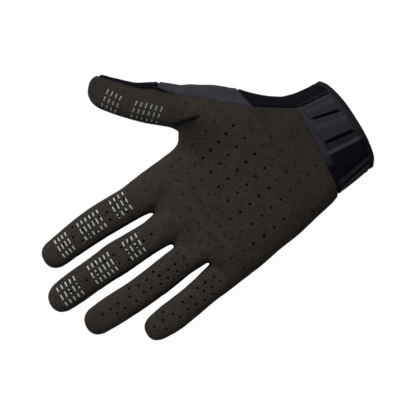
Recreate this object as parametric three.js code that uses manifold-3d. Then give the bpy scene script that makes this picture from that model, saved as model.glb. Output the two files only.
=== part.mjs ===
// A right-hand, full-finger cycling glove that lies on its back with the palm up.
// Lengths are millimetres. +Y runs from the wrist to the fingertips, +X points to the thumb
// and +Z rises out of the palm. The origin is on the surface, under the middle of the palm.
// The glove is one hollow skin with a flat back where it rests. Its panels meet at open seams.

import * as THREE from "three";
import { mergeVertices } from "three/addons/utils/BufferGeometryUtils.js";
import Module from "manifold-3d";

const wasm = await Module();
wasm.setup();

// Driving dimensions
const palmLength = 118; // from the cuff's seam to the webs of the longer fingers
const palmThickness = 26; // through the palm's middle, back to front
const originSetback = 61; // from the cuff's seam to the origin
const cuffLength = 27; // along its sides, from the seam to the hem
const cuffBow = 6; // how far the hem's middle bulges past its sides
const cuffWidth = 71.5;
const cuffThickness = 22;
const clothWall = 1.5; // the suede and the knit
const cuffWall = 2; // the padded cuff
const seamGap = 0.35; // open joint between two panels
const floorSink = 0.9; // how much roundness the surface presses flat
const tipCurl = 6; // how far the longest finger's tip is off the surface
const curlStart = 70; // distance from the origin where the fingers begin to lift
const gripRise = 0.45; // silicone dashes, above the suede
const gripSink = 0.75; // and below it
const padRise = 1.3; // moulded cuff pads
const padSink = 0.7; // and how deep they are rooted in the cuff's wall
const holeWidth = 1.3; // perforations

// Each digit's free length, its width at the root and its thickness.
// gapBefore is the space to its neighbour on the little finger's side.
const digits = {
  little: { length: 63.2, width: 20.6, thickness: 14.5, gapBefore: 0 },
  ring: { length: 79.2, width: 21.1, thickness: 15.5, gapBefore: 5.1 },
  middle: { length: 91.7, width: 22.5, thickness: 16, gapBefore: 3.5 },
  index: { length: 79.5, width: 24.5, thickness: 16, gapBefore: 3.2 },
};
const thumb = { length: 66, width: 25, thickness: 18.5, angle: 45 };
const fingerNames = Object.keys(digits);

// Sections of each finger. along is a share of its length from the web, wide and shift are
// shares of its width, and thick is a share of its thickness.
const fingerSections = {
  little: [
    { along: -0.3, wide: 1.05, shift: 0.21, thick: 1.2 },
    { along: 0, wide: 1.07, shift: 0.141, thick: 1.08 },
    { along: 0.174, wide: 1.015, shift: 0.066, thick: 1 },
    { along: 0.427, wide: 0.985, shift: -0.061, thick: 0.97 },
    { along: 0.68, wide: 0.995, shift: -0.138, thick: 0.92 },
    { along: 0.839, wide: 0.91, shift: -0.165, thick: 0.86 },
  ],
  ring: [
    { along: -0.215, wide: 1.01, shift: 0.035, thick: 1.2 },
    { along: 0, wide: 0.985, shift: 0.007, thick: 1.08 },
    { along: 0.139, wide: 1.014, shift: -0.05, thick: 1 },
    { along: 0.543, wide: 0.981, shift: -0.171, thick: 0.95 },
    { along: 0.745, wide: 0.99, shift: -0.18, thick: 0.9 },
    { along: 0.87, wide: 0.94, shift: -0.19, thick: 0.86 },
  ],
  middle: [
    { along: -0.185, wide: 1.09, shift: 0, thick: 1.2 },
    { along: 0, wide: 1.03, shift: 0, thick: 1.08 },
    { along: 0.098, wide: 0.96, shift: -0.015, thick: 1 },
    { along: 0.403, wide: 1.031, shift: -0.018, thick: 0.98 },
    { along: 0.556, wide: 0.973, shift: -0.045, thick: 0.94 },
    { along: 0.731, wide: 0.96, shift: -0.087, thick: 0.9 },
    { along: 0.872, wide: 0.924, shift: -0.125, thick: 0.86 },
  ],
  index: [
    { along: -0.214, wide: 1.118, shift: 0.006, thick: 1.2 },
    { along: 0, wide: 1.03, shift: -0.004, thick: 1.08 },
    { along: 0.113, wide: 0.955, shift: -0.002, thick: 1 },
    { along: 0.39, wide: 0.94, shift: 0.018, thick: 0.98 },
    { along: 0.591, wide: 0.894, shift: -0.008, thick: 0.94 },
    { along: 0.767, wide: 0.85, shift: -0.06, thick: 0.9 },
    { along: 0.88, wide: 0.79, shift: -0.096, thick: 0.86 },
  ],
  thumb: [
    { along: -0.548, wide: 1.31, shift: 0.825, thick: 1.1 },
    { along: -0.28, wide: 1.385, shift: 0.76, thick: 1.15 },
    { along: -0.033, wide: 1.328, shift: 0.664, thick: 1.1 },
    { along: 0.088, wide: 1.184, shift: 0.648, thick: 1.02 },
    { along: 0.255, wide: 1.18, shift: 0.618, thick: 0.98 },
    { along: 0.391, wide: 1.104, shift: 0.576, thick: 0.94 },
    { along: 0.542, wide: 1, shift: 0.536, thick: 0.9 },
    { along: 0.709, wide: 0.96, shift: 0.548, thick: 0.86 },
    { along: 0.815, wide: 0.916, shift: 0.57, thick: 0.82 },
  ],
};

// Where a digit's end starts to round off, the angles of its end rings and the sideways
// place of its very tip, as a share of the width.
const tipAngles = [34, 60, 79];
const tipRoundness = 0.85; // 1 is an ellipse, and less is blunter
const tipShift = { little: -0.175, ring: -0.2, middle: -0.15, index: -0.09, thumb: 0.64 };

// Sections of the palm. along is a share of the palm's length from the cuff's seam, left and
// right are shares of the width across the knuckles, and mid, rise and drop are shares of the
// palm's thickness: the level of the widest line, and the heights above and below it.
const palmSections = [
  { along: 0.034, left: -0.366, right: 0.415, mid: 0.4, rise: 0.5, drop: 0.4 },
  { along: 0.068, left: -0.388, right: 0.444, mid: 0.41, rise: 0.53, drop: 0.41 },
  { along: 0.144, left: -0.406, right: 0.525, mid: 0.42, rise: 0.57, drop: 0.42 },
  { along: 0.212, left: -0.422, right: 0.612, mid: 0.42, rise: 0.58, drop: 0.42 },
  { along: 0.381, left: -0.461, right: 0.735, mid: 0.42, rise: 0.58, drop: 0.42 },
  { along: 0.483, left: -0.473, right: 0.73, mid: 0.41, rise: 0.58, drop: 0.41 },
  { along: 0.631, left: -0.498, right: 0.555, mid: 0.38, rise: 0.55, drop: 0.38 },
  { along: 0.653, left: -0.501, right: 0.516, mid: 0.37, rise: 0.54, drop: 0.37 },
  { along: 0.69, left: -0.505, right: 0.488, mid: 0.36, rise: 0.53, drop: 0.36 },
  { along: 0.822, left: -0.52, right: 0.472, mid: 0.31, rise: 0.45, drop: 0.31 },
  { along: 0.847, left: -0.4, right: 0.47, mid: 0.3, rise: 0.43, drop: 0.3 },
  { along: 0.864, left: -0.304, right: 0.468, mid: 0.29, rise: 0.41, drop: 0.29 },
  { along: 0.881, left: -0.28, right: 0.466, mid: 0.29, rise: 0.39, drop: 0.29 },
  { along: 0.941, left: -0.275, right: 0.461, mid: 0.27, rise: 0.32, drop: 0.27 },
  { along: 0.975, left: -0.272, right: 0.455, mid: 0.26, rise: 0.22, drop: 0.2 },
  { along: 0.996, left: -0.27, right: 0.448, mid: 0.26, rise: 0.09, drop: 0.09 },
];
const palmFrontAlong = 0.83; // beyond this the palm's sections close in towards the webs
const palmCloseAlong = 0.96; // and beyond this its underside leaves the surface
const palmCoreShare = 0.45; // a level inside the hollow, as a share of the palm's thickness
const littleWebAlong = 0.864; // the little finger's web, as a share of the palm's length
const thumbWeb = { across: 0.577, along: 0.627 }; // shares of knuckle width and palm length
const littleEdge = -0.549; // the little finger's outer edge, as a share of knuckle width

// Sections of the cuff, from its seam to past its hem. along is a share of the cuff's length,
// left and right are shares of its width and thick is a share of its thickness.
const cuffSections = [
  { along: 1.35, left: -0.47, right: 0.495, thick: 0.99 },
  { along: 0.9, left: -0.47, right: 0.497, thick: 1 },
  { along: 0.3, left: -0.494, right: 0.52, thick: 1.01 },
  { along: 0, left: -0.506, right: 0.55, thick: 1.03 },
];
// The hem's bow across the cuff: where it ends, its roundness, and the points and width of
// the block that cuts it. reach and span are shares of the cuff's width.
const hem = { reach: 0.497, power: 2.6, steps: 12, span: 1.5 };
const cuffBowPower = 4; // the roundness of the cuff's last rings, seen from above
const cuffMid = 0.42; // the cuff's widest line, as a share of its thickness
const midShare = 0.42; // a digit's widest line, as a share of its thickness
const midGain = 0.08; // by how much of its thickness a digit thins before that line sinks
const partShare = 0.34; // the seam between palm side and back, as a share of the same

// Roundness of the sections above and below the widest line: 2 is an ellipse.
const crownPower = 2.5;
const solePower = 3.2;
const palmCrownPower = 3.1;
const outerSides = { body: 20, digit: 12 };
const innerSides = { body: 12, digit: 8 };

// The seam on the thumb's side, where the knit wraps round onto the palm side.
// Each row lies on a digit or panel at a share along it, at a share of its half width.
const sideSeam = [
  { on: "thumb", along: 0.99, share: 0.72 },
  { on: "thumb", along: 0.86, share: 0.93 },
  { on: "thumb", along: 0.7, share: 0.9 },
  { on: "thumb", along: 0.56, share: 0.72 },
  { on: "thumb", along: 0.4, share: 0.58 },
  { on: "thumb", along: 0.2, share: 0.5 },
  { on: "thumb", along: -0.02, share: 0.46 },
  { on: "thumb", along: -0.3, share: 0.44 },
  { on: "palm", along: 0.2, share: 0.74 },
  { on: "palm", along: 0.1, share: 0.74 },
  { on: "palm", along: 0.02, share: 0.72 },
  { on: "cuff", along: -0.35, share: 0.7 },
  { on: "cuff", along: -0.9, share: 0.7 },
];
const pastHem = 1.2; // where cutting blocks end, as a share of the cuff's length
// The strips between the fingers: how far they stand above and below the seam's level, how
// far they run back past the web, the share of a finger's length that they leave bare at its
// tip, and the share of its width in which they are looked for.
const strip = {
  below: 2.6,
  aboveNear: 0.7,
  aboveFar: 5.4,
  behindWeb: 9,
  tipBare: 0.16,
  inward: 0.33,
};
const slateAlong = { from: -0.52, to: 0.3 }; // the grey panel, as shares of the thumb's length
const thumbBackAlong = 0.04; // the knit on the thumb's back starts here
// The seam between the palm's heel and the cuff: how far it starts wristwards of the body's
// own division, how far it rises towards the little finger's side, and its points as shares
// of the cuff's width.
const heelSeam = { setback: 1.5, climb: 4.5, at: [-0.9, -0.5, -0.3, -0.1, 0.1, 0.5, 0.9] };

// The cuff's moulded pads. right and left are shares of the cuff's half width at the seam end,
// lean is how far they move towards the little finger at the hem end, also a share.
const cuffPads = [
  { right: 0.64, left: 0.46, lean: 0.13 },
  { right: 0.32, left: -0.06, lean: 0.1 },
  { right: -0.29, left: -0.74, lean: 0.02 },
];
const padSpan = { from: 0.23, to: 0.98 }; // shares of the cuff's length

// Perforations of the palm: slanting columns. across is a column's place on the origin's line
// as a share of the knuckles' width, and start is where its holes begin, as a share of the
// pitch. from and to are its ends, as shares of the palm's length from the cuff's seam.
const holePitch = 8.35;
const holeLean = { middle: 0.15, spread: 0.25, bend: 0.083 };
const palmHoles = [
  { across: -0.335, start: 0.084, from: 0.235, to: 0.81 },
  { across: -0.222, start: 0.413, from: 0.05, to: 0.835 },
  { across: -0.109, start: 0.725, from: 0.07, to: 0.855 },
  { across: 0.006, start: 0.084, from: 0.095, to: 0.88 },
  { across: 0.117, start: 0.108, from: 0.095, to: 0.88 },
  { across: 0.232, start: 0, from: 0.16, to: 0.875 },
  { across: 0.342, start: 0.096, from: 0.235, to: 0.845 },
  { across: 0.45, start: 0.383, from: 0.395, to: 0.775 },
];
// Perforations of the ring and little fingers: along is a share of the finger's length and
// across is a share of its half width.
const fingerHoles = {
  ring: [
    { along: 0.74, across: 0.17 },
    { along: 0.66, across: 0.21 },
    { along: 0.54, across: 0.18 },
    { along: 0.51, across: -0.29 },
    { along: 0.42, across: -0.15 },
    { along: 0.42, across: 0.44 },
    { along: 0.34, across: -0.18 },
    { along: 0.34, across: 0.43 },
    { along: 0.26, across: -0.34 },
    { along: 0.26, across: 0.58 },
    { along: 0.23, across: 0.16 },
    { along: 0.14, across: 0.09 },
  ],
  little: [
    { along: 0.88, across: 0.16 },
    { along: 0.77, across: 0.22 },
    { along: 0.72, across: 0.62 },
    { along: 0.63, across: 0.15 },
    { along: 0.585, across: -0.38 },
    { along: 0.48, across: 0.39 },
    { along: 0.47, across: -0.26 },
    { along: 0.38, across: 0.34 },
    { along: 0.37, across: -0.34 },
    { along: 0.265, across: -0.5 },
    { along: 0.225, across: 0 },
    { along: 0.27, across: 0.43 },
  ],
};

// Silicone dashes. Each group has rows along the digit and three dashes across it. from is
// the first row's place and pitch is the distance between rows, both shares of the digit's
// length. across are the dashes' places as shares of the half width, and turn is in degrees.
// No dash reaches past lastShare of the half width.
const dash = { length: 4.2, width: 1.4, lastShare: 0.93 };
const gripGroups = [
  { on: "index", from: 0.836, rows: 4, pitch: 0.0371, across: [-0.42, 0.09, 0.56], turn: 0 },
  { on: "index", from: 0.594, rows: 6, pitch: 0.0403, across: [-0.41, 0.1, 0.56], turn: 0 },
  { on: "index", from: 0.259, rows: 4, pitch: 0.044, across: [-0.27, 0.2, 0.64], turn: 0 },
  { on: "middle", from: 0.893, rows: 5, pitch: 0.0371, across: [-0.53, 0, 0.55], turn: 0 },
  { on: "middle", from: 0.617, rows: 6, pitch: 0.0354, across: [-0.5, 0, 0.53], turn: 0 },
  { on: "middle", from: 0.304, rows: 4, pitch: 0.0371, across: [-0.44, 0.06, 0.56], turn: 0 },
  { on: "thumb", from: 0.83, rows: 4, pitch: 0.0515, across: [-0.78, -0.4, 0.05], turn: -9 },
  { on: "thumb", from: 0.55, rows: 6, pitch: 0.0538, across: [-0.8, -0.45, -0.08], turn: -4 },
];

const knuckleWidth = fingerNames.reduce(
  (sum, name) => sum + digits[name].width + digits[name].gapBefore, 0);
const seamY = -originSetback;
const webY = seamY + palmLength;
const partLevel = partShare * digits.middle.thickness; // where palm side and back side meet
const leastHalf = 0.4; // the smallest half size of a section
const far = 400; // larger than the glove, for cutting blocks
const curlSteps = 2; // the levels that follow the fingers' lift bend this often
const curlMargin = 10; // and run this far past the longest finger's tip

// How far the fingers are lifted off the surface at a distance y from the origin.
function curl(y) {
  const reach = webY + digits.middle.length - curlStart;
  const share = Math.max(0, (y - curlStart) / reach);
  return tipCurl * share * share;
}

// Where each finger's middle line stands across the knuckles.
const rootX = {};
let edge = littleEdge * knuckleWidth;
for (const name of fingerNames) {
  edge += digits[name].gapBefore;
  rootX[name] = edge + digits[name].width / 2;
  edge += digits[name].width;
}
const rootY = (name) => (name === "little" ? seamY + littleWebAlong * palmLength : webY);
const tipY = (name) => rootY(name) + digits[name].length;

// The thumb is modelled pointing along +Y from its web and then turned into place.
const thumbPlace = new THREE.Matrix4()
  .makeTranslation(thumbWeb.across * knuckleWidth, seamY + thumbWeb.along * palmLength, 0)
  .multiply(new THREE.Matrix4().makeRotationZ(THREE.MathUtils.degToRad(thumb.angle - 90)));

// One closed tube through a list of rings: a cylinder whose rings are moved into place.
// A ring has y, left, right, mid, rise and drop, and its crown's power.
function loft(rings, sides) {
  const tube = new THREE.CylinderGeometry(1, 1, 1, sides, rings.length - 1);
  const at = tube.attributes.position;
  for (let i = 0; i < at.count; i++) {
    const ring = rings[Math.round((at.getY(i) + 0.5) * (rings.length - 1))];
    const across = Math.abs(at.getX(i)) < 1e-6 ? 0 : at.getX(i);
    const up = Math.abs(at.getZ(i)) < 1e-6 ? 0 : at.getZ(i);
    const power = up > 0 ? ring.power : solePower;
    const half = (ring.right - ring.left) / 2;
    const bent = (v) => Math.sign(v) * Math.pow(Math.abs(v), 2 / power);
    const x = (ring.left + ring.right) / 2 + half * bent(across);
    const z = ring.mid + (up > 0 ? ring.rise : ring.drop) * bent(up);
    const bow = (ring.bow || 0) * (1 - Math.pow(Math.abs(bent(across)), cuffBowPower));
    at.setXYZ(i, x, ring.y - bow, z);
  }
  return tube;
}

const sizeOf = (name) => (name === "thumb" ? thumb : digits[name]);

// The section table of a digit, read at any share along it.
function digitAt(name, along) {
  const rows = fingerSections[name];
  const next = rows.findIndex((row) => row.along >= along);
  const b = next < 0 ? rows.length - 1 : Math.max(next, 1);
  const t = THREE.MathUtils.clamp(
    (along - rows[b - 1].along) / (rows[b].along - rows[b - 1].along), 0, 1);
  const mix = (key) => THREE.MathUtils.lerp(rows[b - 1][key], rows[b][key], t);
  return { wide: mix("wide"), shift: mix("shift"), thick: mix("thick") };
}

// Rings of a digit, drawn in from its true surface by inset. A coarse digit has fewer of them.
function digitRings(name, inset, coarse) {
  const size = sizeOf(name);
  const baseX = name === "thumb" ? 0 : rootX[name];
  const baseY = name === "thumb" ? 0 : rootY(name);
  const rings = [];
  const add = (y, shift, half, thick) => {
    const lift = name === "thumb" ? 0 : curl(y);
    const mid = midShare * size.thickness * Math.min(1, thick + midGain);
    const rise = thick * size.thickness - mid;
    const round = half / ((digitEnd.wide * size.width) / 2);
    const end = Math.min(1, round);
    const x = baseX + shift * size.width;
    const halfIn = Math.max(leastHalf, half - inset);
    rings.push({
      y,
      left: x - halfIn,
      right: x + halfIn,
      mid: mid + lift,
      rise: Math.max(leastHalf, rise * end - inset),
      drop: Math.max(leastHalf, (mid + floorSink) * end - inset),
      power: crownPower,
    });
  };
  const rows = fingerSections[name];
  const digitEnd = rows[rows.length - 1];
  rows.forEach((row, i) => {
    if (coarse && i % 2 === 1 && i < rows.length - 1) return;
    const y = baseY + row.along * size.length + (i === 0 ? inset : 0);
    add(y, row.shift, (row.wide * size.width) / 2, row.thick);
  });
  const startY = baseY + digitEnd.along * size.length;
  const reach = baseY + size.length - inset - startY;
  for (const degrees of coarse ? tipAngles.slice(1) : tipAngles) {
    const a = THREE.MathUtils.degToRad(degrees);
    const shift = THREE.MathUtils.lerp(digitEnd.shift, tipShift[name], Math.sin(a));
    const half = ((digitEnd.wide * size.width) / 2) * Math.pow(Math.cos(a), tipRoundness);
    add(startY + reach * Math.sin(a), shift, half, digitEnd.thick);
  }
  return rings;
}

// Rings of the cuff and the palm as one body.
function bodyRings(inset, cuffInset) {
  const rings = [];
  for (const row of cuffSections) {
    const mid = cuffMid * cuffThickness * row.thick;
    rings.push({
      y: seamY - row.along * cuffLength,
      left: row.left * cuffWidth + cuffInset,
      right: row.right * cuffWidth - cuffInset,
      mid,
      rise: cuffThickness * row.thick - mid - cuffInset,
      drop: mid + floorSink - cuffInset,
      power: palmCrownPower,
      bow: cuffBow * row.along,
    });
  }
  for (const row of palmSections) {
    const front = row.along > palmFrontAlong;
    const sink = row.along > palmCloseAlong ? 0 : floorSink;
    rings.push({
      y: seamY + row.along * palmLength - (front ? inset : 0),
      left: row.left * knuckleWidth + inset,
      right: row.right * knuckleWidth - inset,
      mid: row.mid * palmThickness,
      rise: Math.max(leastHalf, row.rise * palmThickness - inset),
      drop: Math.max(leastHalf, row.drop * palmThickness + sink - inset),
      power: palmCrownPower,
    });
  }
  return rings;
}

// A closed three.js geometry as a solid, and a solid as a named mesh.
function solid(geometry) {
  const bare = geometry.clone();
  bare.deleteAttribute("normal");
  bare.deleteAttribute("uv");
  const merged = mergeVertices(bare, 1e-3);
  return new wasm.Manifold(new wasm.Mesh({
    numProp: 3,
    vertProperties: new Float32Array(merged.attributes.position.array),
    triVerts: new Uint32Array(merged.index.array),
  }));
}

function piece(name, body, material) {
  const made = body.getMesh();
  const geometry = new THREE.BufferGeometry();
  geometry.setAttribute("position", new THREE.BufferAttribute(made.vertProperties, 3));
  geometry.setIndex(new THREE.BufferAttribute(made.triVerts, 1));
  geometry.computeVertexNormals();
  const mesh = new THREE.Mesh(geometry, material);
  mesh.name = name;
  return mesh;
}

const joined = (bodies) => bodies.reduce((sum, body) => sum.add(body));

// The block between two levels that follow the fingers' lift, over the whole glove.
function levels(low, high) {
  const reach = webY + digits.middle.length + curlMargin - curlStart;
  const edgeY = (i) => curlStart + (i / curlSteps) * reach;
  const outline = [new THREE.Vector2(-far, low), new THREE.Vector2(-far, high)];
  for (let i = 0; i <= curlSteps; i++)
    outline.push(new THREE.Vector2(edgeY(i), high + curl(edgeY(i))));
  for (let i = curlSteps; i >= 0; i--)
    outline.push(new THREE.Vector2(edgeY(i), low + curl(edgeY(i))));
  const slab = new THREE.ExtrudeGeometry(new THREE.Shape(outline), {
    depth: 2 * far, bevelEnabled: false });
  slab.translate(0, 0, -far);
  // The outline is drawn with Y across and Z up: turn it so that it is swept along X.
  slab.applyMatrix4(new THREE.Matrix4().makeBasis(
    new THREE.Vector3(0, 1, 0), new THREE.Vector3(0, 0, 1), new THREE.Vector3(1, 0, 0)));
  return solid(slab);
}

// An upright prism over an outline seen from above.
function prism(points, low = -far / 2, high = far / 2) {
  const block = new THREE.ExtrudeGeometry(new THREE.Shape(points), {
    depth: high - low, bevelEnabled: false });
  block.translate(0, 0, low);
  return solid(block);
}

// A section of the whole body read at y: the palm's or the cuff's edges.
function bodyEdges(y) {
  const rings = bodyRings(0, 0);
  const next = Math.max(1, rings.findIndex((ring) => ring.y >= y));
  const [a, b] = [rings[next - 1], rings[next]];
  const t = THREE.MathUtils.clamp((y - a.y) / (b.y - a.y), 0, 1);
  return {
    left: THREE.MathUtils.lerp(a.left, b.left, t),
    right: THREE.MathUtils.lerp(a.right, b.right, t),
  };
}

// A point in plan on a digit or on the body, at a share along it and of its half width.
function onDigit(name, along, share) {
  const size = sizeOf(name);
  const row = digitAt(name, along);
  const x = row.shift * size.width + share * ((row.wide * size.width) / 2);
  if (name !== "thumb")
    return new THREE.Vector2(rootX[name] + x, rootY(name) + along * size.length);
  const at = new THREE.Vector3(x, along * size.length, 0).applyMatrix4(thumbPlace);
  return new THREE.Vector2(at.x, at.y);
}

function onBody(y, share) {
  const { left, right } = bodyEdges(y);
  return new THREE.Vector2((left + right) / 2 + (share * (right - left)) / 2, y);
}

// The side seam from the thumb's tip to past the cuff's hem, moved sideways by offset.
const hemEnd = seamY - pastHem * cuffLength - cuffBow;
function sideSeamLine(offset) {
  const lengths = { palm: palmLength, cuff: cuffLength };
  const line = sideSeam.map((row) => row.on === "thumb"
    ? onDigit("thumb", row.along, row.share)
    : onBody(seamY + row.along * lengths[row.on], row.share));
  line.push(new THREE.Vector2(line[line.length - 1].x, hemEnd));
  const moved = line.map((point, i) => {
    const a = line[Math.max(0, i - 1)];
    const b = line[Math.min(line.length - 1, i + 1)];
    const normal = new THREE.Vector2(a.y - b.y, b.x - a.x).normalize();
    return point.clone().addScaledVector(normal, offset);
  });
  return moved;
}

// The area in plan on the thumb's side of the seam. A positive offset makes it smaller.
function sideArea(offset) {
  const line = sideSeamLine(offset);
  const start = line[0];
  return prism([
    ...line,
    new THREE.Vector2(far, hemEnd),
    new THREE.Vector2(far, start.y),
  ]);
}

// The area in plan of the cuff: wristwards of the palm's heel seam.
function cuffArea(offset) {
  const seam = (x) => {
    const share = THREE.MathUtils.clamp(0.5 - x / cuffWidth, 0, 1);
    return seamY - heelSeam.setback + heelSeam.climb * share * share - offset;
  };
  const xs = heelSeam.at.map((s) => s * cuffWidth);
  return prism([
    ...xs.map((x) => new THREE.Vector2(x, seam(x))),
    new THREE.Vector2(xs[xs.length - 1], -far),
    new THREE.Vector2(xs[0], -far),
  ].reverse());
}

// The part of the thumb beyond a share of its length, as a block across it.
function thumbBeyond(along, offset) {
  const block = new THREE.BoxGeometry(4 * thumb.width, far, far);
  block.translate(1.5 * thumb.width, far / 2 + along * thumb.length + offset, 0);
  block.applyMatrix4(thumbPlace);
  return solid(block);
}

// The glove's form drawn in by an inset, closed at the cuff.
function form(inset, cuffInset, { body, digit }, coarse) {
  const tube = (name) => loft(digitRings(name, inset, coarse), digit);
  const bodies = fingerNames.map((name) => solid(tube(name)));
  bodies.push(solid(tube("thumb").applyMatrix4(thumbPlace)));
  bodies.push(solid(loft(bodyRings(inset, cuffInset), body)));
  return joined(bodies);
}

const above = (z) => prism([[-far, -far], [far, -far], [far, far], [-far, far]]
  .map(([x, y]) => new THREE.Vector2(x, y)), z, far);

// The cuff's open end: everything past its bowed hem is cut off.
function hemBlock() {
  const half = (hem.span * cuffWidth) / 2;
  const points = [];
  for (let i = 0; i <= hem.steps; i++) {
    const x = half * ((2 * i) / hem.steps - 1);
    const share = Math.min(1, Math.abs(x) / (hem.reach * cuffWidth));
    const bow = cuffBow * (1 - Math.pow(share, hem.power));
    points.push(new THREE.Vector2(x, seamY - cuffLength - bow));
  }
  points.push(new THREE.Vector2(half, -far), new THREE.Vector2(-half, -far));
  return prism(points.reverse());
}

const outerForm = form(0, 0, outerSides, false);
const outer = outerForm.intersect(above(0)).subtract(hemBlock());
const inner = form(clothWall, cuffWall, innerSides, true).intersect(above(clothWall));
const skin = outer.subtract(inner);

// The strips between the fingers: each runs up the facing sides of two fingers and round
// the web. The side nearer the thumb stands higher, so it shows from above.
function stripArea(left, right, grow) {
  const start = Math.min(rootY(left), rootY(right)) - strip.behindWeb - grow;
  const leftEdge = rootX[left] + digits[left].width / 2;
  const rightEdge = rootX[right] - digits[right].width / 2;
  const webX = (leftEdge + rightEdge) / 2;
  const side = (x0, x1, name, high) => {
    const end = tipY(name) - strip.tipBare * digits[name].length + grow;
    const corners = [[x0, start], [x1, start], [x1, end], [x0, end]];
    return prism(corners.map(([x, y]) => new THREE.Vector2(x, y)))
      .intersect(levels(partLevel - strip.below - grow, partLevel + high + grow));
  };
  return side(leftEdge - strip.inward * digits[left].width, webX, left, strip.aboveNear)
    .add(side(webX, rightEdge + strip.inward * digits[right].width, right, strip.aboveFar));
}

const stripPairs = [["little", "ring"], ["ring", "middle"], ["middle", "index"]];
const strips = stripPairs.map(([a, b]) => stripArea(a, b, 0));
const stripCuts = joined(stripPairs.map(([a, b]) => stripArea(a, b, seamGap)));

const upper = levels(partLevel, far / 2);
const lower = levels(-far / 2, partLevel - seamGap);
const side = sideArea(0);
const sideGrown = sideArea(-seamGap);
const cuffZone = cuffArea(0);
const cuffZoneGrown = cuffArea(-seamGap);

// A small upright cutter for a hole, from a level up.
function upright(x, y, low) {
  const pin = new THREE.BoxGeometry(holeWidth, holeWidth, far);
  return solid(pin.translate(x, y, low + far / 2));
}

function holePins() {
  const pins = [];
  for (const column of palmHoles) {
    const lean = holeLean.middle + holeLean.spread * column.across;
    const low = Math.ceil((seamY + column.from * palmLength) / holePitch - column.start);
    const high = Math.floor((seamY + column.to * palmLength) / holePitch - column.start);
    for (let i = low; i <= high; i++) {
      const y = (column.start + i) * holePitch;
      const x = column.across * knuckleWidth - y * lean + (holeLean.bend * y * y) / palmLength;
      pins.push(upright(x, y, palmCoreShare * palmThickness));
    }
  }
  for (const [name, holes] of Object.entries(fingerHoles))
    for (const hole of holes) {
      const at = onDigit(name, hole.along, hole.across);
      pins.push(upright(at.x, at.y, partLevel + curl(at.y)));
    }
  return pins;
}

// The height of a digit's crown at a share along it and of its half width.
function crownHeight(name, along, share) {
  const size = sizeOf(name);
  const { thick } = digitAt(name, along);
  const mid = midShare * size.thickness * Math.min(1, thick + midGain);
  const rise = thick * size.thickness - mid;
  const lift = name === "thumb" ? 0 : curl(rootY(name) + along * size.length);
  return mid + lift + rise * Math.pow(1 - Math.pow(Math.abs(share), crownPower), 1 / crownPower);
}

// A dash lies on the chord between two points of the crown, sunk a little into the wall.
function gripDash(group, along, share) {
  const size = sizeOf(group.on);
  const half = (digitAt(group.on, along).wide * size.width) / 2;
  const reach = dash.length / 2 / half;
  const outerShare = Math.sign(share || 1) * Math.min(dash.lastShare, Math.abs(share) + reach);
  const innerShare = share - Math.sign(share || 1) * reach;
  const ends = [innerShare, outerShare].map((u) => {
    const at = onDigit(group.on, along, u);
    return new THREE.Vector3(at.x, at.y, crownHeight(group.on, along, u));
  });
  const [low, high] = share >= 0 ? ends : ends.reverse();
  const span = high.clone().sub(low);
  const block = new THREE.BoxGeometry(span.length(), dash.width, gripRise + gripSink);
  block.translate(0, 0, (gripRise - gripSink) / 2);
  block.rotateZ(THREE.MathUtils.degToRad(group.turn));
  block.rotateY(-Math.asin(span.z / span.length()));
  block.rotateZ(Math.atan2(span.y, span.x));
  block.translate(...low.add(high).divideScalar(2));
  return solid(block);
}

function gripDashes() {
  const blocks = [];
  for (const group of gripGroups)
    for (let row = 0; row < group.rows; row++) {
      const along = group.from - row * group.pitch;
      for (const share of group.across) blocks.push(gripDash(group, along, share));
    }
  return blocks;
}
const grips = joined(gripDashes());

// The cuff's pads: raised skin over slanting outlines.
function padArea(pad) {
  const at = (along, share) => onBody(seamY - along * cuffLength, share);
  return prism([
    at(padSpan.from, pad.right),
    at(padSpan.from, pad.left),
    at(padSpan.to, pad.left - pad.lean),
    at(padSpan.to, pad.right - pad.lean),
  ].reverse());
}
const pads = outerForm
  .translate([0, 0, padRise])
  .subtract(outerForm.translate([0, 0, -padSink]))
  .intersect(levels(partLevel, far / 2))
  .intersect(joined(cuffPads.map(padArea)));

// Panels
const palmPanel = skin
  .intersect(upper)
  .add(grips)
  .subtract(stripCuts)
  .subtract(cuffZoneGrown)
  .subtract(sideGrown)
  .subtract(joined(holePins()));

const cuffShell = skin
  .intersect(upper)
  .intersect(cuffZone)
  .subtract(sideGrown)
  .add(pads);

const slateZone = side
  .intersect(thumbBeyond(slateAlong.from, 0))
  .subtract(thumbBeyond(slateAlong.to, 0));
const slateZoneGrown = sideGrown
  .intersect(thumbBeyond(slateAlong.from, -seamGap))
  .subtract(thumbBeyond(slateAlong.to, seamGap));
const sidePanel = skin.intersect(slateZone);

const backAndSide = skin
  .intersect(lower)
  .add(skin.intersect(side))
  .subtract(slateZoneGrown)
  .subtract(stripCuts);
const thumbBack = backAndSide.intersect(thumbBeyond(thumbBackAlong, 0));
const backPanel = backAndSide.subtract(thumbBeyond(thumbBackAlong, -seamGap));

// Materials
const cloth = (colour, roughness) =>
  new THREE.MeshStandardMaterial({ color: colour, roughness, metalness: 0 });
const suede = cloth(0x2e2a27, 0.95);
const knit = cloth(0x121118, 0.85);
const slateMesh = cloth(0x32323a, 0.85);
const moulded = cloth(0x26272c, 0.6);

const glove = new THREE.Group();
glove.add(piece("palm_panel", palmPanel, suede));
glove.add(piece("back_panel", backPanel, knit));
glove.add(piece("thumb_back", thumbBack, knit));
glove.add(piece("thumb_side_panel", sidePanel, slateMesh));
glove.add(piece("wrist_cuff", cuffShell, moulded));
stripPairs.forEach(([a, b], i) => {
  const strip = skin.intersect(strips[i]).subtract(sideGrown);
  glove.add(piece(`${a}_${b}_fourchette`, strip, knit));
});

export default glove;
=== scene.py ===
"""A right-hand, full-finger cycling glove that lies on its back with the palm up.

The frame is the part's own: +Y from the wrist to the fingertips, +X towards the thumb and
+Z up out of the palm. Shapes are worked out in millimetres and each finished mesh is scaled
to metres. One smooth skin is made first, then it is parted into its sewn panels.
"""

import math

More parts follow.
